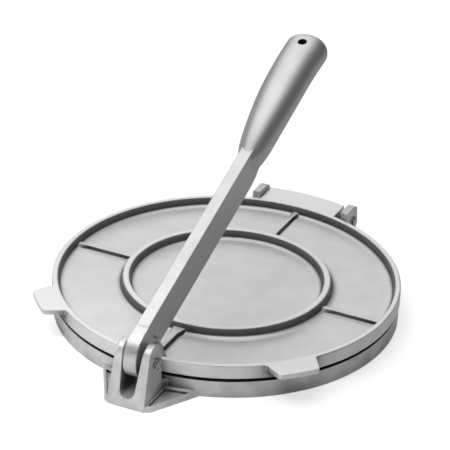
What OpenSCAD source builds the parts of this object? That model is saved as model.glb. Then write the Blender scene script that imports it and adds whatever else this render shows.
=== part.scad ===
// Hand-operated tortilla press in cast aluminium: a ribbed base, a ribbed
// upper plate that swings on a rear hinge pin, and a long lever whose toe
// bears down on the upper plate when the grip is pushed down.
//
// Frame (mm): +Z up, the table is z = 0, the discs are centred on x = y = 0.
// The lever clevis is at -Y (the front) and the plate hinge is at +Y.

/* [Discs] */
// Outer diameter of the upper plate
plate_d = 210; // [180:1:260]
// Outer diameter of the base disc
base_d = 208.6; // [178:0.2:258]
// Height of the base, from the table to its flat working face
base_h = 11.4; // [9:0.1:20]
// Height of the upper plate's rim top above the table
rim_z = 21.7; // [18:0.1:32]
// Height of the recessed floor of the upper plate
floor_z = 16.2; // [14:0.1:26]
// Gap between the two working faces
face_gap = 1.3; // [0.1:0.1:2]

/* [Upper plate relief] */
// Flat width of the rim top, without its rounded outer edge
rim_flat = 2.3; // [1:0.1:6]
// Rounding of the rim's outer top edge
rim_round = 0.9; // [0.3:0.1:3]
// Horizontal run of the sloped walls inside the rim and beside the ring
wall_run = 1.5; // [0.3:0.1:4]
// Rise of the fillet where a wall meets the floor
floor_fillet = 2; // [0.3:0.1:3]
// Reach of that fillet along the floor
floor_blend = 5; // [0.5:0.1:8]
// Mean radius of the raised ring
ring_r = 60.7; // [40:0.1:80]
// Width of the ring's flat top
ring_w = 3.6; // [2:0.1:8]
// Height of the thin side and rear ribs above the floor
rib_h = 2; // [1:0.1:5]
// Width of the thin ribs at the floor
rib_w = 4.2; // [2:0.1:8]
// Height of the front rib above the floor
front_rib_h = 2.5; // [1:0.1:5]
// Width of the front rib at the floor
front_rib_w = 6.4; // [3:0.1:12]

/* [Pressing boss] */
// Top of the boss that the lever's toe bears on
boss_z = 26.8; // [22:0.1:32]
// Width of the boss across its top
boss_w = 9; // [6:0.5:14]
// Width of the boss where it meets the rim
boss_root_w = 18; // [12:0.2:30]
// Length of the boss's flat top, measured along Y
boss_len = 8.6; // [4:0.2:16]
// Distance from the disc centre to the front edge of the boss's top
boss_y = 104; // [95:0.1:108]

/* [Lifting tabs] */
// Angle of each tab below the left-right line
tab_a = 43.2; // [20:0.1:60]
// Radius of the tab's outer end
tab_r = 117.7; // [108:0.1:130]
// Thickness of a tab
tab_t = 3; // [2:0.1:5]
// Half angle a tab spans at the rim
tab_root_a = 8.4; // [4:0.1:15]
// Half angle a tab spans at its outer end
tab_tip_a = 6; // [3:0.1:12]

/* [Rear hinge] */
// Distance of the hinge pin from the disc centre
hinge_y = 112; // [108:0.5:130]
// Height of the hinge pin above the table
hinge_z = 15.5; // [12:0.1:20]
// Diameter of the hinge pin
hinge_pin_d = 6; // [4:0.1:9]
// Half width of the upper plate's hinge tongue
tongue_half = 25.5; // [15:0.5:40]
// Radius of the barrel round the hinge pin, under the tongue
barrel_r = 6.2; // [5:0.1:8]
// Radius of the tongue's rear edge about the disc centre
tongue_r = 120; // [116:0.5:130]
// Inner face of the left ear
ear_left_x = -26.4; // [-42:0.1:-16]
// Inner face of the right ear
ear_right_x = 29.4; // [16:0.1:45]
// Thickness of each hinge ear
ear_t = 4.8; // [3:0.1:8]
// Height of the ears' flat tops
ear_z = 24.8; // [22:0.1:32]
// Lean of the ears' front faces, which clears the lifting plate
ear_lean = 12.5; // [5:0.5:20]

/* [Lever clevis] */
// Distance of the lever pin from the disc centre
pivot_y = 116; // [112:0.5:130]
// Height of the lever pin above the table
pivot_z = 24.9; // [20:0.1:40]
// Diameter of the lever pin
lever_pin_d = 7; // [5:0.1:10]
// Half width of the clevis at the table
clevis_half = 12; // [9:0.1:18]
// Half width that the clevis loses by its full height, as draft
clevis_draft = 1.3; // [0:0.1:3]
// Top of the clevis ears
clevis_top = 36.3; // [30:0.1:45]
// Radius of the rounded ear tops
clevis_lobe_r = 7.6; // [6:0.1:10]
// Half width of the slot at its round bottom
slot_half = 4.9; // [3:0.1:8]
// Half width of the slot at the top of the ears
slot_top_half = 6.8; // [4:0.1:10]
// Height of the slot's round bottom
slot_z = 5.8; // [4:0.1:10]
// Height of the web between the clevis and the disc
web_z = 8.3; // [5:0.1:11]
// Front edge of the clevis foot, from the disc centre
foot_y = 131.3; // [126:0.1:150]
// Height of the foot's raised border
foot_h = 3.6; // [2:0.1:6]
// Height of the foot's recessed floor
foot_floor = 1.6; // [1:0.05:4]
// Width of the raised border round each recess, along the disc
foot_border = 2.4; // [1:0.1:5]

/* [Lever] */
// Angle of the lever's bar above the table at rest
lever_a = 21.6; // [10:0.1:45]
// Width of the lever's bar
bar_w = 7.5; // [5:0.1:12]
// Depth of the lever's bar
bar_depth = 22; // [15:0.1:30]
// Height of the bar's middle line where it passes over the lever pin
bar_mid_z = 30.5; // [25:0.1:40]
// Thickness of the lever's lug on the pin
lug_w = 8; // [5:0.1:12]
// Radius of the lug's round heel about the pin
heel_r = 10.2; // [8:0.1:14]
// Length of the grip's middle line, from where it grows out of the bar
grip_len = 105; // [80:0.5:130]
// Length of the grip's rounded end
dome_len = 9.5; // [6:0.5:20]
// Squareness of the grip's oval section, 2 is a plain ellipse
oval = 2.15; // [2:0.05:4]
// Distance from the grip's tip to the hanging hole
hang_in = 13; // [10:0.5:30]
// Diameter of the hanging hole through the grip
hang_d = 5.6; // [4:0.1:10]

/* [Underside] */
// Thickness of the base under its working face
base_t = 4; // [3:0.1:8]
// Thickness of the base's outer wall
skirt_t = 6; // [3:0.1:10]
// Thickness of the ribs under the base
under_rib_t = 3.2; // [2:0.1:6]
// Gap between the ribs under the base and the table
under_gap = 1; // [0.5:0.1:4]

/* [Hidden] */
plate_r = plate_d / 2;
base_r = base_d / 2;
plate_bottom = base_h + face_gap;
relief = rim_z - floor_z;
rim_inner = plate_r - rim_round - rim_flat;
ring_in = ring_r - ring_w / 2;
ring_out = ring_r + ring_w / 2;
running = 0.05;
grip_press = 0.02;
cast_colour = [0.74, 0.75, 0.76];
steel_colour = [0.55, 0.56, 0.58];
// where the grip grows out of the bar, measured along it from above the pin
neck_s = 146.2;
// the grip's course: degrees it lifts above the bar's line, by position
grip_lift = [[0, 13.5], [25, 12.6], [50, 6.5], [75, 0], [105, -9.1]];
// its half width and half depth, by position
grip_widths = [
    [0, 2.4], [3, 4.3], [6, 6.3], [9, 7.7], [12, 8.6], [16, 9.4], [28, 10.8], [52, 12.8],
    [105, 13.7]];
grip_depths = [[0, 8.6], [8, 9.3], [20, 10.5], [105, 10.8]];

// points along a circular arc in a plane
function arc(c, r, a0, a1, n = 6) =
    [for (i = [0:n]) let (a = a0 + (a1 - a0) * i / n)
        [c[0] + r * cos(a), c[1] + r * sin(a)]];
// a value that eases from 0 to 1 as t goes from 0 to 1
function ease(t) = let (u = min(1, max(0, t))) u * u * (3 - 2 * u);

base_casting();
top_plate();
lever();
lever_pin();
hinge_pin();

// ---------------------------------------------------------------- base

module base_casting() {
    color(cast_colour)
    difference() {
        union() {
            base_disc();
            base_ribs();
            foot();
            clevis();
            hinge_ears();
            web();
        }
        lever_pin_bore();
        hinge_pin_bore();
    }
}

// the round base: a flat working face, an outer wall and a ring rib below
module base_disc() {
    under = base_h - base_t;
    rotate_extrude($fn = 160)
        polygon(concat(
            [[0, under], [0, base_h]],
            arc([base_r - 0.6, base_h - 0.6], 0.6, 90, 0, 3),
            [[base_r, 0.5], [base_r - 0.5, 0], [base_r - skirt_t, 0]],
            [[base_r - skirt_t - 0.6, under]]));
    rotate_extrude($fn = 96)
        translate([ring_r - under_rib_t / 2, under_gap])
            square([under_rib_t, under - under_gap + 0.5]);
}

// four straight ribs under the base, from the ring rib to the outer wall
module base_ribs() {
    under = base_h - base_t;
    for (a = [0:90:270])
        rotate(a)
            translate([ring_r, -under_rib_t / 2, under_gap])
                cube([base_r - skirt_t - ring_r + 1, under_rib_t, under - under_gap + 0.5]);
}

// outline of the foot in front of the disc
module foot_outline() {
    offset(r = 1.5) offset(delta = -1.5)
        polygon([
            [-33, -94], [-31, -100], [-15, -foot_y + 2.4], [-10, -foot_y],
            [10, -foot_y], [15, -foot_y + 2.4], [31, -100], [33, -94]]);
}

// the flat foot, with a sunk triangle on each side of the clevis
module foot() {
    difference() {
        linear_extrude(foot_h) foot_outline();
        translate([0, 0, foot_floor])
            linear_extrude(foot_h)
                difference() {
                    offset(r = 0.8) offset(delta = -0.8 - foot_border * 0.7) foot_outline();
                    translate([-clevis_half - 0.6, -foot_y])
                        square([2 * clevis_half + 1.2, 60]);
                    circle(base_r + foot_border, $fn = 160);
                }
        translate([0, 0, -1]) cylinder(r = base_r - 1, h = foot_h + 2, $fn = 160);
    }
}

// side view of the clevis ears: a round top, and a front that leans out
// until it is flush with the foot
module clevis_side() {
    hull() {
        translate([-pivot_y - 0.5, clevis_top - clevis_lobe_r])
            circle(clevis_lobe_r, $fn = 64);
        translate([-foot_y, 0]) square([foot_y - 109, foot_h]);
    }
}

// front view of the clevis block, narrower towards the top
module clevis_front() {
    polygon([
        [-clevis_half, 0], [clevis_half, 0],
        [clevis_half - clevis_draft, clevis_top + 1],
        [-clevis_half + clevis_draft, clevis_top + 1]]);
}

// front view of the slot that the lever works in
module slot_front() {
    slot_c = slot_z + slot_half;
    translate([0, slot_c]) circle(slot_half, $fn = 48);
    polygon([
        [-slot_half, slot_c], [slot_half, slot_c],
        [slot_top_half, clevis_top + 2], [-slot_top_half, clevis_top + 2]]);
}

// the two ears that carry the lever pin
module clevis() {
    difference() {
        intersection() {
            rotate([90, 0, 90])
                linear_extrude(60, center = true) clevis_side();
            rotate([90, 0, 0])
                linear_extrude(200) clevis_front();
        }
        difference() {
            rotate([90, 0, 0]) linear_extrude(200) slot_front();
            cylinder(r = base_r - 0.1, h = 60, $fn = 160);
        }
        translate([0, 0, -1]) cylinder(r = base_r - 1, h = 60, $fn = 160);
    }
}

// the web behind the clevis, flared in plan where it meets the disc
module web() {
    difference() {
        linear_extrude(web_z)
            intersection() {
                offset(r = -3.5) offset(delta = 3.5) {
                    circle(base_r - 0.3, $fn = 160);
                    translate([-clevis_half + 0.4, -125]) square([2 * clevis_half - 0.8, 40]);
                }
                translate([-20, -124]) square([40, 24]);
            }
        difference() {
            rotate([90, 0, 0]) linear_extrude(200) slot_front();
            cylinder(r = base_r - 0.1, h = 60, $fn = 160);
        }
        translate([0, 0, -1]) cylinder(r = base_r - 1, h = 60, $fn = 160);
    }
}

// side view of a hinge ear
module ear_side() {
    polygon(concat(
        [[95, 0.6], [95.6, 0], [107, 0]],
        arc([hinge_y - 0.2, hinge_z - 1.5], 7, -50, 0, 7),
        arc([113.6, ear_z - 4.6], 4.6, 12, 90, 7),
        [[98, ear_z], [95, ear_z]]));
}

// one hinge ear between two positions across the press
module hinge_ear(x0) {
    translate([x0, 0, 0])
        rotate([90, 0, 90])
            linear_extrude(ear_t) ear_side();
}

// the two ears that carry the hinge pin, blended into the base wall
module hinge_ears() {
    difference() {
        union() {
            hinge_ear(ear_left_x - ear_t);
            hinge_ear(ear_right_x);
        }
        cylinder(r = base_r - 0.5, h = 60, center = true, $fn = 160);
        for (a = [0, ear_lean / 2, ear_lean])
            translate([0, hinge_y, hinge_z])
                rotate([-a, 0, 0])
                    translate([0, -hinge_y, -hinge_z - 0.05 + base_h])
                        cylinder(r = plate_r + 0.5, h = 60, $fn = 160);
    }
    ear_roots();
}

// plan fillets where the hinge ears leave the base wall
module ear_roots() {
    translate([0, 0, 0.4])
        linear_extrude(base_h - 1.6)
            intersection() {
                offset(r = -4.5) offset(delta = 4.5) {
                    circle(base_r - 0.2, $fn = 160);
                    translate([ear_left_x - ear_t, 90]) square([ear_t, 17]);
                    translate([ear_right_x, 90]) square([ear_t, 17]);
                }
                difference() {
                    translate([-45, 92]) square([90, 15]);
                    circle(base_r - 2, $fn = 160);
                }
            }
}

module lever_pin_bore() {
    translate([-20, -pivot_y, pivot_z])
        rotate([0, 90, 0])
            cylinder(d = lever_pin_d - 2 * grip_press, h = 40, $fn = 64);
}

module hinge_pin_bore() {
    translate([-45, hinge_y, hinge_z])
        rotate([0, 90, 0])
            cylinder(d = hinge_pin_d - 2 * grip_press, h = 90, $fn = 64);
}

// --------------------------------------------------------- upper plate

module top_plate() {
    color(cast_colour)
    difference() {
        union() {
            plate_disc();
            for (a = [0, 90, 180]) plate_rib(a);
            front_rib();
            boss();
            for (side = [-1, 1]) lifting_tab(side);
            tongue();
        }
        translate([0, hinge_y, hinge_z])
            rotate([0, 90, 0])
                cylinder(d = hinge_pin_d + 2 * running, h = 90, center = true, $fn = 64);
    }
}

// the dished disc with its rim and its raised ring
module plate_disc() {
    rotate_extrude($fn = 160)
        polygon(concat(
            [[0, plate_bottom], [plate_r - 0.7, plate_bottom], [plate_r, plate_bottom + 0.7]],
            arc([plate_r - rim_round, rim_z - rim_round], rim_round, 0, 90, 4),
            wall_down(rim_inner, -1),
            wall_up(ring_out + wall_run, -1),
            wall_down(ring_in, -1),
            [[0, floor_z]]));
}

// the long fillet at the foot of a wall: a quarter of an ellipse that meets
// the wall at x, and the floor floor_blend further along
function wall_foot(x, from, to) =
    [for (p = arc([1, 1], 1, from, to, 7))
        [x + floor_blend * p[0], floor_z + floor_fillet * p[1]]];

// profile of a sloped wall that falls inwards from a raised top at radius r
function wall_down(r, s) =
    concat([[r - s * 0.3, rim_z], [r + s * 0.1, rim_z - 0.3]],
        wall_foot(r + s * wall_run - 2 * floor_blend, 0, -90));

// profile of a sloped wall that rises inwards to a raised top
function wall_up(r, s) =
    concat(wall_foot(r, -90, -180),
        [[r + s * (wall_run - 0.1), rim_z - 0.3], [r + s * (wall_run + 0.3), rim_z]]);

// plan of a radial rib along +X, wider where it meets the rim or the ring
module rib_plan(w, flare_in, flare_out) {
    r0 = ring_out - 0.4;
    r1 = rim_inner + 0.4;
    polygon([
        [r0, -w / 2 - flare_in], [r0 + 2.6, -w / 2 - flare_in * 0.8], [r0 + 8, -w / 2],
        [r1 - 8, -w / 2], [r1 - 2.6, -w / 2 - flare_out * 0.8], [r1, -w / 2 - flare_out],
        [r1, w / 2 + flare_out], [r1 - 2.6, w / 2 + flare_out * 0.8], [r1 - 8, w / 2],
        [r0 + 8, w / 2], [r0 + 2.6, w / 2 + flare_in * 0.8], [r0, w / 2 + flare_in]]);
}

// a thin rib from the ring to the rim, in the direction a
module plate_rib(a) {
    flare_in = a == 0 ? 2.4 : 0.6;
    flare_out = a == 0 ? 0.6 : 2.4;
    rotate(a)
        translate([0, 0, floor_z - 0.3])
            linear_extrude(rib_h + 0.3, scale = [1, 0.36]) rib_plan(rib_w, flare_in, flare_out);
}

// the stronger rib that carries the boss load back to the ring
module front_rib() {
    rotate(-90)
        translate([0, 0, floor_z - 0.3])
            linear_extrude(front_rib_h + 0.3, scale = [1, 0.66]) rib_plan(front_rib_w, 2.6, 0.4);
}

// side view of the boss: a flat top, with a slope down to the front rib
module boss_side() {
    foot = floor_z - 0.3;
    polygon([
        [-plate_r + 0.6, foot], [-plate_r + 0.6, rim_z - 0.6],
        [-boss_y - 0.3, boss_z - 0.8], [-boss_y + 0.5, boss_z],
        [-boss_y + boss_len, boss_z], [-boss_y + boss_len + 1, boss_z - 0.5],
        [-boss_y + 15.5, floor_z + 2.6], [-boss_y + 18, foot]]);
}

// front view of the boss, flared where it meets the rim
module boss_front() {
    half = boss_w / 2;
    root = boss_root_w / 2;
    foot = floor_z - 0.4;
    polygon(concat(
        [[-root - 1.5, foot], [root + 1.5, foot], [root, rim_z - 0.4]],
        arc([half - 1.2, boss_z - 1.2], 1.2, 35, 90, 4),
        arc([-half + 1.2, boss_z - 1.2], 1.2, 90, 145, 4),
        [[-root, rim_z - 0.4]]));
}

// the boss that the lever's toe presses on
module boss() {
    intersection() {
        rotate([90, 0, 90])
            linear_extrude(60, center = true) boss_side();
        rotate([90, 0, 0])
            linear_extrude(120) boss_front();
        // narrower towards the rib, with flanks that lean in
        translate([0, -100, floor_z - 0.4])
            linear_extrude(boss_z - floor_z + 1, scale = [0.62, 0.55])
                polygon([
                    [-16, -20], [16, -20], [boss_root_w / 2 + 2, 1.5], [6.6, 6.4],
                    [4.5, 9.1], [2.6, 13.5], [-2.6, 13.5], [-4.5, 9.1], [-6.6, 6.4],
                    [-boss_root_w / 2 - 2, 1.5]]);
    }
}

// plan of one lifting tab, centred on +X
module tab_plan() {
    offset(r = 2) offset(delta = -2)
        polygon(concat(
            [[95, 95 * sin(-tab_root_a)],
             [plate_r * cos(tab_root_a), -plate_r * sin(tab_root_a)]],
            arc([0, 0], tab_r, -tab_tip_a, tab_tip_a, 8),
            [[plate_r * cos(tab_root_a), plate_r * sin(tab_root_a)],
             [95, 95 * sin(tab_root_a)]]));
}

// a thin tab on the rim to lift the plate by; side is -1 left, 1 right
module lifting_tab(side) {
    rotate(side > 0 ? -tab_a : 180 + tab_a)
        translate([0, 0, rim_z - tab_t])
            linear_extrude(tab_t)
                difference() {
                    offset(r = -1.6) offset(delta = 1.6) {
                        circle(plate_r - 0.2, $fn = 160);
                        tab_plan();
                    }
                    circle(plate_r - 2.4, $fn = 160);
                    translate([-150, -150]) square([230, 300]);
                }
}

// the tongue between the hinge ears, with the barrel round the pin
module tongue() {
    translate([0, 0, plate_bottom + 0.1])
        linear_extrude(rim_z - plate_bottom - 0.1)
            intersection() {
                difference() {
                    circle(tongue_r, $fn = 200);
                    circle(plate_r - 2, $fn = 160);
                }
                translate([-tongue_half, 90]) square([2 * tongue_half, 40]);
            }
    translate([0, hinge_y, hinge_z])
        rotate([0, 90, 0])
            cylinder(r = barrel_r, h = 2 * tongue_half, center = true, $fn = 64);
}

// --------------------------------------------------------------- lever

// a point of the lever's side view: s along the bar from above the pin,
// v square to it, up from the bar's middle line
function at(s, v) =
    [-pivot_y + s * cos(lever_a) - v * sin(lever_a),
     bar_mid_z + s * sin(lever_a) + v * cos(lever_a)];

module lever() {
    color(cast_colour)
    difference() {
        union() {
            bar();
            lug();
            grip();
        }
        translate([0, -pivot_y, pivot_z])
            rotate([0, 90, 0])
                cylinder(d = lever_pin_d + 2 * running, h = 40, center = true, $fn = 64);
        hanging_hole();
    }
}

// the flat bar: cut to a pointed toe at the front, running out under the grip
module bar() {
    half = bar_depth / 2;
    rotate([90, 0, 90])
        linear_extrude(bar_w, center = true)
            polygon([
                at(9.5, half), at(17.3, -half + 1.2), at(17.9, -half + 0.3), at(19.2, -half),
                at(neck_s - 4, -half), at(neck_s + 1, -half + 0.3), at(neck_s + 6, -half + 1.2),
                at(neck_s + 12, -half + 3.6), at(neck_s + 18, -half + 9),
                at(neck_s + 20, half - 6), at(neck_s + 10, half)]);
}

// the lug on the pin: knee at the top, bulged front and a round heel
module lug() {
    rotate([90, 0, 90])
        linear_extrude(lug_w, center = true) {
            polygon(concat(
                [at(9.3, bar_depth / 2), at(1.8, bar_depth / 2), at(-0.6, bar_depth / 2 - 0.6)],
                arc([-111.6, 27.6], 15.7, 131, 207, 14),
                [[-pivot_y, pivot_z], [-pivot_y + heel_r * 0.97, pivot_z + 2.6],
                 [-105, 29.6], [-106.1, 33.4], [-106.1, 36.3], [-104.9, 37.5],
                 [-103.2, 36.6]]));
            translate([-pivot_y, pivot_z]) circle(heel_r, $fn = 72);
        }
}

// a value read from [position, value] pairs, with its corners eased
function eased(list, s, reach) =
    (lookup(s - reach, list) + lookup(s - reach / 2, list) + lookup(s, list)
        + lookup(s + reach / 2, list) + lookup(s + reach, list)) / 5;
// the corners are eased less near the neck, where the grip widens quickly
function reach_at(s) = min(9, 0.3 * s);
// direction, half width and half depth of the grip, s along its middle line
function grip_angle(s) = lever_a + eased(grip_lift, s, reach_at(s));
function grip_half_w(s) = eased(grip_widths, s, reach_at(s));
function grip_half_d(s) = eased(grip_depths, s, reach_at(s));

// middle line of the grip, in short steps from where it grows out of the bar
step = 4;
function middle(s) =
    s <= 0 ? at(neck_s, 0) :
    let (h = min(step, s), a = grip_angle(s - h / 2), p = middle(s - h))
    [p[0] + h * cos(a), p[1] + h * sin(a)];

// how far the round end has closed in, from 1 down to 0
function dome(s) =
    let (u = (s - (grip_len - dome_len)) / dome_len)
    u <= 0 ? 1 : pow(max(0, 1 - pow(u, 2.4)), 0.5);

// one flattened-oval section of the grip, as points in space
function section(s) =
    let (p = middle(s), a = grip_angle(s), k = max(0.06, dome(s)), n = 48,
        w = grip_half_w(s) * k, d = grip_half_d(s) * k)
    [for (i = [0:n - 1])
        let (c = cos(360 * i / n), q = sin(360 * i / n),
            x = w * sign(c) * pow(abs(c), 2 / oval), v = d * sign(q) * pow(abs(q), 2 / oval))
        [x, p[0] - v * sin(a), p[1] + v * cos(a)]];

// the grip, skinned through its sections
module grip() {
    stations = concat([for (s = [0:1.5:13.5]) s], [for (s = [16:step:grip_len - dome_len]) s],
        [for (t = [0.15:0.15:0.9]) grip_len - dome_len * (1 - t)],
        [grip_len - dome_len * 0.05, grip_len]);
    rows = [for (s = stations) section(s)];
    n = len(rows[0]);
    m = len(rows);
    polyhedron(
        points = [for (r = rows) for (p = r) p],
        faces = concat(
            [[for (i = [n - 1:-1:0]) i]],
            [for (j = [0:m - 2]) for (i = [0:n - 1])
                [j * n + i, j * n + (i + 1) % n, (j + 1) * n + (i + 1) % n]],
            [for (j = [0:m - 2]) for (i = [0:n - 1])
                [j * n + i, (j + 1) * n + (i + 1) % n, (j + 1) * n + i]],
            [[for (i = [0:n - 1]) (m - 1) * n + i]]),
        convexity = 6);
}

// the hole near the grip's end, square to its middle line
module hanging_hole() {
    p = middle(grip_len - hang_in);
    translate([0, p[0], p[1]])
        rotate([grip_angle(grip_len - hang_in), 0, 0])
            cylinder(d = hang_d, h = 60, center = true, $fn = 48);
}

// ---------------------------------------------------------------- pins

// a plain pin across the press with bevelled, fluted ends
module pin(d, x0, x1) {
    bevel = 0.5;
    difference() {
        translate([x0, 0, 0])
            rotate([0, 90, 0])
                union() {
                    cylinder(d1 = d - 2 * bevel, d2 = d, h = bevel, $fn = 64);
                    translate([0, 0, bevel])
                        cylinder(d = d, h = x1 - x0 - 2 * bevel, $fn = 64);
                    translate([0, 0, x1 - x0 - bevel])
                        cylinder(d1 = d, d2 = d - 2 * bevel, h = bevel, $fn = 64);
                }
        for (x = [x0 - 1, x1 - 1.2]) for (a = [0:45:315])
            rotate([a, 0, 0])
                translate([x, 0, d / 2 + 0.15])
                    rotate([0, 90, 0])
                        cylinder(d = 1.1, h = 2.2, $fn = 16);
    }
}

module lever_pin() {
    color(steel_colour)
    translate([0, -pivot_y, pivot_z]) pin(lever_pin_d, -13.8, 13.8);
}

module hinge_pin() {
    color(steel_colour)
    translate([0, hinge_y, hinge_z])
        pin(hinge_pin_d, ear_left_x - ear_t - 1.5, ear_right_x + ear_t + 1.6);
}
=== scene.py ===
# %% [markdown]
# # A cast-aluminium tortilla press
# The solid parts come ready-made from the CAD model: a base casting, an upper
# plate, a lever and two pins. This lesson gives them the skin that sand, belt
# and hand leave on cast metal, and lights the press like a product picture.

# %% Load the frame
import bpy
import math
from mathutils import Matrix, Vector

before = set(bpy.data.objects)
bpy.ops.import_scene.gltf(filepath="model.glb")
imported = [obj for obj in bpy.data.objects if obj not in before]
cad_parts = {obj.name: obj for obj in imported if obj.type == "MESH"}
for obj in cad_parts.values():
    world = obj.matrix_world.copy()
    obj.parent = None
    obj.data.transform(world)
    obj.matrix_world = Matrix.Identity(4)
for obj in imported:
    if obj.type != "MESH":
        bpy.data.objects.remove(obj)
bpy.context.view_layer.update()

# %% [markdown]
# ## Camera
# The press is seen from the front right, a little under 30 degrees above the
# table, through a long lens. A long lens keeps the far and the near edge of
# the discs almost the same size, as a product view does. The camera's axes
# are written from three angles, so each can be read and changed on its own.

# %% Camera
def add_camera(azimuth, elevation, roll, aim, distance, lens):
    a, e, r = (math.radians(v) for v in (azimuth, elevation, roll))
    back = Vector((math.sin(a) * math.cos(e), -math.cos(a) * math.cos(e), math.sin(e)))
    right = Vector((math.cos(a), math.sin(a), 0))
    up = back.cross(right)
    x = math.cos(r) * right + math.sin(r) * up
    y = -math.sin(r) * right + math.cos(r) * up
    data = bpy.data.cameras.new("camera")
    data.lens = lens
    data.sensor_width = 36
    data.clip_end = 20
    camera = bpy.data.objects.new("camera", data)
    place = Matrix((x, y, back)).transposed().to_4x4()
    place.translation = Vector(aim) + distance * back
    camera.matrix_world = place
    bpy.context.collection.objects.link(camera)
    bpy.context.scene.camera = camera
    return camera

bpy.context.scene.view_settings.view_transform = "Standard"
camera = add_camera(azimuth=24.975, elevation=28.384, roll=1.947,
                    aim=(-0.0462, 0.094258, 0), distance=1.906, lens=239.55)
print("camera at", tuple(round(v, 3) for v in camera.location))

# %% [markdown]
# ## Floor
# The press stands on a white table. A plain pale sheet takes its shadow, and
# a glow, which only the camera sees, lifts the sheet towards the white of the
# room behind it.

# %% Floor
FLOOR_HALF = 3.0
FLOOR_GREY = 0.85
FLOOR_GLOW = 0.6

def grey_colour(level):
    return (level, level, level, 1)

def node_tree(owner):
    owner.use_nodes = True
    tree = owner.node_tree
    tree.nodes.clear()
    return tree

def add_floor(half):
    mesh = bpy.data.meshes.new("floor")
    corners = [(-half, -half, 0), (half, -half, 0), (half, half, 0), (-half, half, 0)]
    mesh.from_pydata(corners, [], [(0, 1, 2, 3)])
    floor = bpy.data.objects.new("floor", mesh)
    bpy.context.collection.objects.link(floor)
    material = bpy.data.materials.new("table_white")
    tree = node_tree(material)
    out = tree.nodes.new("ShaderNodeOutputMaterial")
    matt = tree.nodes.new("ShaderNodeBsdfDiffuse")
    matt.inputs["Color"].default_value = grey_colour(FLOOR_GREY)
    glow = tree.nodes.new("ShaderNodeEmission")
    path = tree.nodes.new("ShaderNodeLightPath")
    seen = tree.nodes.new("ShaderNodeMath")
    seen.operation = "MULTIPLY"
    seen.inputs[1].default_value = FLOOR_GLOW
    both = tree.nodes.new("ShaderNodeAddShader")
    tree.links.new(path.outputs["Is Camera Ray"], seen.inputs[0])
    tree.links.new(seen.outputs[0], glow.inputs["Strength"])
    tree.links.new(matt.outputs[0], both.inputs[0])
    tree.links.new(glow.outputs[0], both.inputs[1])
    tree.links.new(both.outputs[0], out.inputs["Surface"])
    mesh.materials.append(material)
    return floor

floor = add_floor(FLOOR_HALF)
print(floor.name, "is", 2 * FLOOR_HALF, "m wide")

# %% [markdown]
# ## World
# The room is white too. The world is white where the camera looks at it
# directly, and a dark grey where it lights the press or is mirrored in it,
# which leaves the shine to the lamps.

# %% World
WORLD_GREY = 0.12

def add_world(light_level):
    world = bpy.data.worlds.new("studio")
    bpy.context.scene.world = world
    tree = node_tree(world)
    out = tree.nodes.new("ShaderNodeOutputWorld")
    seen = tree.nodes.new("ShaderNodeBackground")
    seen.inputs["Color"].default_value = grey_colour(1)
    lit = tree.nodes.new("ShaderNodeBackground")
    lit.inputs["Color"].default_value = grey_colour(light_level)
    path = tree.nodes.new("ShaderNodeLightPath")
    mix = tree.nodes.new("ShaderNodeMixShader")
    tree.links.new(path.outputs["Is Camera Ray"], mix.inputs[0])
    tree.links.new(lit.outputs[0], mix.inputs[1])
    tree.links.new(seen.outputs[0], mix.inputs[2])
    tree.links.new(mix.outputs[0], out.inputs["Surface"])
    return world

world = add_world(WORLD_GREY)
print(world.name, "lights the press at", WORLD_GREY)

# %% [markdown]
# ## Lamps
# Cast metal shows its lamps in its gloss, so their shapes matter more than
# their number. One broad box hangs overhead, far wider than the press, and
# lights every face that looks up. A calmer one stands behind on the left,
# where the flat plate mirrors it to the camera as an even pale grey. A strip
# low on the left lights the sides that face it, and a dim one low in front
# lights the clevis. A narrow beam brightens the table just in front, which
# the upright walls mirror. Each lamp's power is worked out from the
# brightness its face should have.

# %% Lamps
def add_lamp(name, place, aim, size, brightness, spread=180):
    width, depth = size
    data = bpy.data.lights.new(name, "AREA")
    data.shape = "RECTANGLE"
    data.size = width
    data.size_y = depth
    data.energy = brightness * math.pi * width * depth
    data.spread = math.radians(spread)
    lamp = bpy.data.objects.new(name, data)
    lamp.location = place
    lamp.rotation_euler = (Vector(aim) - Vector(place)).to_track_quat("-Z", "Y").to_euler()
    lamp.visible_camera = False
    bpy.context.collection.objects.link(lamp)
    print(name, round(data.energy, 1), "W")

add_lamp("top_box", place=(-0.35, -0.1, 1.4), aim=(0, 0, 0),
         size=(2.0, 1.8), brightness=1.25)
add_lamp("back_box", place=(-0.8, 1.6, 0.95), aim=(0, 0, 0),
         size=(1.5, 1.1), brightness=1.0)
add_lamp("left_strip", place=(-1.4, 0.2, 0.2), aim=(0, 0, 0.1),
         size=(1.4, 0.4), brightness=0.6)
add_lamp("front_strip", place=(-0.55, -1.35, 0.25), aim=(0, -0.1, 0.03),
         size=(1.6, 0.45), brightness=0.25)
add_lamp("table_beam", place=(-0.1, -0.6, 0.9), aim=(-0.03, -0.42, 0),
         size=(0.5, 0.3), brightness=3.4, spread=30)

# %% [markdown]
# ## Helpers for node trees
# The same few nodes come back in every finish: a group with named inputs and
# outputs, a sum or a product, and a smooth step from 0 to 1 between two
# limits. A short function for each keeps the finishes readable.

# %% Node helpers
def new_group(name, inputs, outputs):
    group = bpy.data.node_groups.new(name, "ShaderNodeTree")
    for label, value in inputs:
        socket = group.interface.new_socket(label, in_out="INPUT", socket_type="NodeSocketFloat")
        socket.default_value = value
    for label, kind in outputs:
        group.interface.new_socket(label, in_out="OUTPUT", socket_type="NodeSocket" + kind)
    given = group.nodes.new("NodeGroupInput")
    result = group.nodes.new("NodeGroupOutput")
    return group, given, result

def math_node(tree, operation, *values):
    node = tree.nodes.new("ShaderNodeMath")
    node.operation = operation
    for socket, value in zip(node.inputs, values):
        if isinstance(value, bpy.types.NodeSocket):
            tree.links.new(value, socket)
        else:
            socket.default_value = value
    return node.outputs[0]

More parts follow.
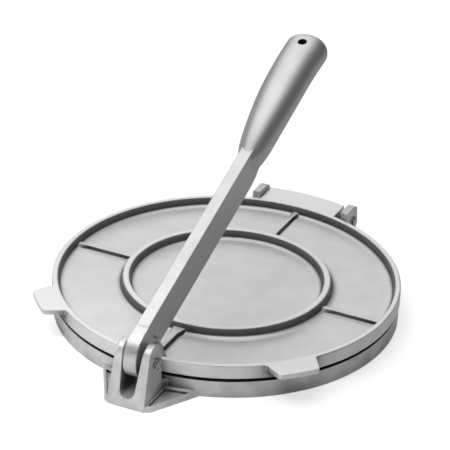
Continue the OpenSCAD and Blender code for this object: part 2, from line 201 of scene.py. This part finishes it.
def ramp_node(tree, value, low, high):
    node = tree.nodes.new("ShaderNodeMapRange")
    node.interpolation_type = "SMOOTHSTEP"
    tree.links.new(value, node.inputs["Value"])
    node.inputs["From Min"].default_value = low
    node.inputs["From Max"].default_value = high
    return node.outputs["Result"]

print("helpers:", new_group.__name__, math_node.__name__, ramp_node.__name__)

# %% [markdown]
# ## Soft edges
# No edge of a sand casting is knife sharp, and hands and tables rub the
# proud edges. The Bevel node rounds the shading of an edge over a small
# radius. Where that rounded direction leaves the surface's own, there is an
# edge: the difference makes the edge mask. The edges it marks get a lighter
# grey, partly wear and partly a painted highlight. It is a group, because
# all the metals use it.

# %% Soft edge group
BEVEL_SAMPLES = 10
# The edge mask lightens the grey: wear, and a painted highlight along the edges.
EDGE_BEGINS = 0.015
EDGE_FULL = 0.22

def soft_edge_group():
    group, given, result = new_group(
        "soft_edge", [("Radius", 0.0006)], [("Normal", "Vector"), ("Edge", "Float")])
    bevel = group.nodes.new("ShaderNodeBevel")
    bevel.samples = BEVEL_SAMPLES
    group.links.new(given.outputs["Radius"], bevel.inputs["Radius"])
    surface = group.nodes.new("ShaderNodeNewGeometry")
    turn = group.nodes.new("ShaderNodeVectorMath")
    turn.operation = "DOT_PRODUCT"
    group.links.new(bevel.outputs["Normal"], turn.inputs[0])
    group.links.new(surface.outputs["Normal"], turn.inputs[1])
    away = math_node(group, "SUBTRACT", 1.0, turn.outputs["Value"])
    group.links.new(bevel.outputs["Normal"], result.inputs["Normal"])
    group.links.new(ramp_node(group, away, EDGE_BEGINS, EDGE_FULL), result.inputs["Edge"])
    return group

soft_edge = soft_edge_group()
print(soft_edge.name, "has", len(soft_edge.nodes), "nodes")

# %% [markdown]
# ## Sand grain
# The mould is packed sand, so the skin carries its grain: tiny pits, over
# slow patches a centimetre or two wide where the metal cooled sooner or
# later. Two noises at two sizes give both. Each metal says how many grains
# it has in a metre, so worked metal can be finer than a casting. Noise in
# object space keeps its size on every face, with no seams.

# %% Sand grain group
PATCH_BEGINS = 0.3
PATCH_FULL = 0.7

def noise_node(tree, place, scale, detail, roughness):
    node = tree.nodes.new("ShaderNodeTexNoise")
    tree.links.new(place, node.inputs["Vector"])
    tree.links.new(scale, node.inputs["Scale"])
    node.inputs["Detail"].default_value = detail
    node.inputs["Roughness"].default_value = roughness
    return node.outputs["Fac"]

def sand_grain_group():
    group, given, result = new_group(
        "sand_grain", [("Grains per metre", 900), ("Patches per metre", 60)],
        [("Grain", "Float"), ("Patch", "Float")])
    place = group.nodes.new("ShaderNodeTexCoord").outputs["Object"]
    fine = noise_node(group, place, given.outputs["Grains per metre"], detail=3, roughness=0.6)
    slow = noise_node(group, place, given.outputs["Patches per metre"], detail=2, roughness=0.5)
    group.links.new(fine, result.inputs["Grain"])
    group.links.new(ramp_node(group, slow, PATCH_BEGINS, PATCH_FULL), result.inputs["Patch"])
    return group

sand_grain = sand_grain_group()
print(sand_grain.name, "has", len(sand_grain.nodes), "nodes")

# %% [markdown]
# ## Painted shade in corners
# Corners and hollows are darkened in the colour, as painted shade. Ambient
# occlusion measures how closed in a point is by its own casting. Open and
# Closed say where the mask begins and where it is full, so open faces keep
# their grey.

# %% Corner shade group
OCCLUSION_SAMPLES = 8

# Painted shade: the mask darkens the colour where the casting closes in on a point.
def corner_shade_group():
    group, given, result = new_group(
        "corner_shade", [("Reach", 0.01), ("Open", 0.6), ("Closed", 0.2)],
        [("Corner shade", "Float")])
    hidden = group.nodes.new("ShaderNodeAmbientOcclusion")
    hidden.only_local = True
    hidden.samples = OCCLUSION_SAMPLES
    group.links.new(given.outputs["Reach"], hidden.inputs["Distance"])
    node = group.nodes.new("ShaderNodeMapRange")
    node.interpolation_type = "SMOOTHSTEP"
    group.links.new(hidden.outputs["AO"], node.inputs["Value"])
    group.links.new(given.outputs["Open"], node.inputs["From Min"])
    group.links.new(given.outputs["Closed"], node.inputs["From Max"])
    group.links.new(node.outputs["Result"], result.inputs["Corner shade"])
    return group

corner_shade = corner_shade_group()
print(corner_shade.name, "has", len(corner_shade.nodes), "nodes")

# %% [markdown]
# ## Which way a face looks
# Steep walls and flat faces are told apart here. The object normal's
# upright part says which is which, and it turns with the part. A second
# mask picks the faces that look up from above a chosen height: the proud
# ones. Upright faces can take a darker grey, as painted shade, and proud
# faces a lighter one, as painted highlight; both masks also set the depth of
# the grain.

# %% Facing group
STEEP_BELOW = 0.6
FLAT_ABOVE = 0.95
UP_BEGINS = 0.8
UP_FULL = 0.97

# The Steep mask darkens upright faces as painted shade where a metal gives it a grey.
def facing_group():
    group, given, result = new_group(
        "facing", [("Proud height", 1)], [("Steep", "Float"), ("Proud", "Float")])
    place = group.nodes.new("ShaderNodeTexCoord")
    normal = group.nodes.new("ShaderNodeSeparateXYZ")
    point = group.nodes.new("ShaderNodeSeparateXYZ")
    group.links.new(place.outputs["Normal"], normal.inputs[0])
    group.links.new(place.outputs["Object"], point.inputs[0])
    flatness = math_node(group, "ABSOLUTE", normal.outputs["Z"])
    steep = math_node(group, "SUBTRACT", 1.0, ramp_node(group, flatness, STEEP_BELOW, FLAT_ABOVE))
    above = math_node(group, "GREATER_THAN", point.outputs["Z"], given.outputs["Proud height"])
    up = ramp_node(group, normal.outputs["Z"], UP_BEGINS, UP_FULL)
    group.links.new(steep, result.inputs["Steep"])
    group.links.new(math_node(group, "MULTIPLY", above, up), result.inputs["Proud"])
    return group

facing = facing_group()
print(facing.name, "has", len(facing.nodes), "nodes")

# %% [markdown]
# ## Painted shade at the seam
# Where the two discs nearly meet, the gap between them is dark with shade,
# and this is painted into the colour. It sits on a narrow ring of each
# casting: between two heights, and between two distances from the middle.

# %% Seam shade group
# Painted shade: a dark ring where the two discs meet.
def seam_shade_group():
    group, given, result = new_group(
        "seam_shade", [("Low", 1), ("High", 1), ("Inner", 0.1), ("Outer", 0.105)],
        [("Seam shade", "Float")])
    place = group.nodes.new("ShaderNodeTexCoord")
    point = group.nodes.new("ShaderNodeSeparateXYZ")
    group.links.new(place.outputs["Object"], point.inputs[0])
    across = math_node(group, "MULTIPLY", point.outputs["X"], point.outputs["X"])
    across = math_node(group, "MULTIPLY_ADD", point.outputs["Y"], point.outputs["Y"], across)
    away = math_node(group, "SQRT", across)
    limits = ((point.outputs["Z"], "Low", "High"), (away, "Inner", "Outer"))
    seam_band = 1.0
    for value, low, high in limits:
        over = math_node(group, "GREATER_THAN", value, given.outputs[low])
        under = math_node(group, "LESS_THAN", value, given.outputs[high])
        seam_band = math_node(group, "MULTIPLY", math_node(group, "MULTIPLY", over, under), seam_band)
    group.links.new(seam_band, result.inputs["Seam shade"])
    return group

seam_shade = seam_shade_group()
print(seam_shade.name, "has", len(seam_shade.nodes), "nodes")

# %% [markdown]
# ## Layers of grey
# Every piece here is bare metal, so one set of layers colours them all.
# Patches shift the grey underneath. Over them lie steep faces and sheltered
# walls, darkened as painted shade; edges and proud faces, lighter, partly
# wear and partly painted highlight; painted shade in the corners; and
# painted shade at the seam of the rim. Each layer has a mask and a grey, and
# a metal that gives no grey for one goes without it.

# %% Grey layers
# Besides the patches, these layers paint shade into the colour, apart from the lighter edges and
# proud faces, which are wear and painted highlight.
LAYERS = ("steep", "shaded_walls", "sheen_and_wear", "shaded_corners", "shaded_seam")

def place_group(tree, group, values):
    node = tree.nodes.new("ShaderNodeGroup")
    node.node_tree = group
    for label, value in values.items():
        node.inputs[label].default_value = value
    return node

def shade_over(tree, mask, under, level):
    node = tree.nodes.new("ShaderNodeMix")
    node.data_type = "RGBA"
    below, above = node.inputs[6], node.inputs[7]
    tree.links.new(mask, node.inputs["Factor"])
    if isinstance(under, bpy.types.NodeSocket):
        tree.links.new(under, below)
    else:
        below.default_value = grey_colour(under)
    above.default_value = grey_colour(level)
    return node.outputs[2]

def metal_masks(tree, edge, face, corner_shade_limits, wall_shade_limits, seam_band):
    # Painted shade: closed-in walls, corners and the seam; wear and painted highlight: edges and
    # proud faces.
    closed_in = place_group(tree, corner_shade, wall_shade_limits).outputs["Corner shade"]
    steep, proud = face.outputs["Steep"], face.outputs["Proud"]
    masks = {"steep": steep,
             "shaded_walls": math_node(tree, "MULTIPLY", closed_in, steep),
             "sheen_and_wear": math_node(tree, "MAXIMUM", edge.outputs["Edge"], proud),
             "shaded_corners": place_group(tree, corner_shade, corner_shade_limits).outputs["Corner shade"]}
    if seam_band:
        masks["shaded_seam"] = place_group(tree, seam_shade, seam_band).outputs["Seam shade"]
    return masks

def metal_grey(tree, patch, masks, greys):
    grey = shade_over(tree, patch, greys["dark"], greys["light"])
    for layer in LAYERS:
        if layer in greys:
            grey = shade_over(tree, masks[layer], grey, greys[layer])
    return grey

print("layers, from the bottom up:", ", ".join(LAYERS))

# %% [markdown]
# ## Gloss and grain
# Grain does two things to a metal's shine. It sets a bump, which can be
# deeper on steep walls and is gone from proud faces, and it shifts the
# roughness a little. Rubbed edges are smoother as well.

# %% Roughness and bump
ROUGHNESS_SWING = 0.08
EDGE_POLISH = 0.08

def metal_roughness(tree, grain, edge, roughness):
    smoothest = roughness - ROUGHNESS_SWING / 2
    rough = math_node(tree, "MULTIPLY_ADD", grain, ROUGHNESS_SWING, smoothest)
    return math_node(tree, "MULTIPLY_ADD", edge.outputs["Edge"], -EDGE_POLISH, rough)

def metal_normal(tree, grain, edge, face, depths):
    flat, steep = depths["flat"], depths["steep"]
    depth = math_node(tree, "MULTIPLY_ADD", face.outputs["Steep"], steep - flat, flat)
    smooth = math_node(tree, "SUBTRACT", 1.0, face.outputs["Proud"])
    depth = math_node(tree, "MULTIPLY", depth, smooth)
    bump = tree.nodes.new("ShaderNodeBump")
    bump.inputs["Strength"].default_value = 1
    bump.inputs["Distance"].default_value = 1
    tree.links.new(math_node(tree, "MULTIPLY", grain, depth), bump.inputs["Height"])
    tree.links.new(edge.outputs["Normal"], bump.inputs["Normal"])
    return bump.outputs["Normal"]

print("grain moves the roughness by", ROUGHNESS_SWING, "at most")

# %% [markdown]
# ## Bare metal
# One function puts the groups, the layers and the grain into a material. The
# Principled BSDF stays in the material itself. A metal with no proud faces
# keeps a proud height that no part of the press reaches.

# %% Bare metal
ABOVE_EVERYTHING = 1.0
# Painted shade on walls that are closed in by the casting.
WALL_SHADE_LIMITS = {"Reach": 0.02, "Open": 0.95, "Closed": 0.6}

def bare_metal(name, metallic, roughness, greys, edge_radius, grains, grain_depths, corner_shade_limits,
               wall_shade_limits=WALL_SHADE_LIMITS, proud_height=ABOVE_EVERYTHING, seam_band=None):
    material = bpy.data.materials.new(name)
    tree = node_tree(material)
    out = tree.nodes.new("ShaderNodeOutputMaterial")
    skin = tree.nodes.new("ShaderNodeBsdfPrincipled")
    skin.inputs["Metallic"].default_value = metallic
    edge = place_group(tree, soft_edge, {"Radius": edge_radius})
    sand = place_group(tree, sand_grain, {"Grains per metre": grains})
    face = place_group(tree, facing, {"Proud height": proud_height})
    grain, patch = sand.outputs["Grain"], sand.outputs["Patch"]
    masks = metal_masks(tree, edge, face, corner_shade_limits, wall_shade_limits, seam_band)
    parts = {"Base Color": metal_grey(tree, patch, masks, greys),
             "Roughness": metal_roughness(tree, grain, edge, roughness),
             "Normal": metal_normal(tree, grain, edge, face, grain_depths)}
    for socket, value in parts.items():
        tree.links.new(value, skin.inputs[socket])
    tree.links.new(skin.outputs[0], out.inputs["Surface"])
    print(name, "has", len(tree.nodes), "nodes")
    return material

# %% [markdown]
# ## Cast aluminium
# The base and the plate are aluminium under a dull oxide, so they are part
# metal and part matt grey. The plate is handled more, so its flats are
# smoother; the tops of its rim, ring, boss and tabs get a painted highlight.
# Each disc has painted shade at its rim, where it faces the other, and painted
# shade on its inner walls and in its corners.

# %% The two discs
# Darker walls, corners and seam are painted shade; lighter edges are wear and painted highlight.
base_cast = bare_metal(
    "cast_aluminium", metallic=0.4, roughness=0.36, edge_radius=0.001, grains=450,
    greys={"dark": 0.58, "light": 0.8, "shaded_walls": 0.2, "sheen_and_wear": 1.0,
           "shaded_corners": 0.03, "shaded_seam": 0.03},
    grain_depths={"flat": 0.00012, "steep": 0.0005},
    corner_shade_limits={"Reach": 0.02, "Open": 0.42, "Closed": 0.3},
    wall_shade_limits={"Reach": 0.02, "Open": 0.72, "Closed": 0.45},
    seam_band={"Low": 0.0108, "High": 0.0116, "Inner": 0.1, "Outer": 0.1044})
# The plate's proud tops are lighter: painted highlight.
plate_cast = bare_metal(
    "cast_aluminium_plate", metallic=0.4, roughness=0.4, edge_radius=0.0009, grains=450,
    greys={"dark": 0.82, "light": 0.88, "shaded_walls": 0.05, "sheen_and_wear": 0.99,
           "shaded_corners": 0.03, "shaded_seam": 0.03},
    grain_depths={"flat": 0.00002, "steep": 0.0004}, proud_height=0.0213,
    corner_shade_limits={"Reach": 0.01, "Open": 0.55, "Closed": 0.15},
    wall_shade_limits={"Reach": 0.02, "Open": 0.99, "Closed": 0.8},
    seam_band={"Low": 0.0126, "High": 0.0134, "Inner": 0.1, "Outer": 0.1051})

# %% [markdown]
# ## Lever and pins
# The lever is the same aluminium, but linished: a belt takes off nearly all
# the oxide, and leaves a shallow fine grain and a softer gloss. Its upright
# sides take a darker grey, as painted shade. The pins are darker, glossier
# steel with a finer grain still; their flutes take painted shade and their
# edges a painted highlight with wear.

# %% The lever and the pins
lever_metal = bare_metal(
    "linished_aluminium", metallic=0.95, roughness=0.5, edge_radius=0.0006, grains=1200,
    # The darker grey on upright faces and the dark walls and corners are painted shade; lighter
    # edges are wear and painted highlight.
    greys={"dark": 0.74, "light": 0.8, "steep": 0.56, "shaded_walls": 0.5, "sheen_and_wear": 0.95,
           "shaded_corners": 0.1},
    grain_depths={"flat": 0.00003, "steep": 0.00006},
    corner_shade_limits={"Reach": 0.012, "Open": 0.6, "Closed": 0.3})
steel = bare_metal(
    "pin_steel", metallic=1.0, roughness=0.24, edge_radius=0.0002, grains=2500,
    # The pin's dark flutes are painted shade; its lighter edges are wear and painted highlight.
    greys={"dark": 0.3, "light": 0.42, "shaded_walls": 0.2, "sheen_and_wear": 0.98, "shaded_corners": 0.01},
    grain_depths={"flat": 0.00003, "steep": 0.00003},
    corner_shade_limits={"Reach": 0.002, "Open": 0.75, "Closed": 0.45})

# %% [markdown]
# ## Dressing the solids
# Each solid takes one metal, by its name.

# %% Dressing
finish_of = {"base_casting": base_cast, "top_plate": plate_cast, "lever": lever_metal,
             "lever_pin": steel, "hinge_pin": steel}
for name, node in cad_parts.items():
    for slot in node.material_slots:
        slot.material = finish_of[name]
    print(name, "in", node.material_slots[0].material.name, len(node.data.polygons), "faces")
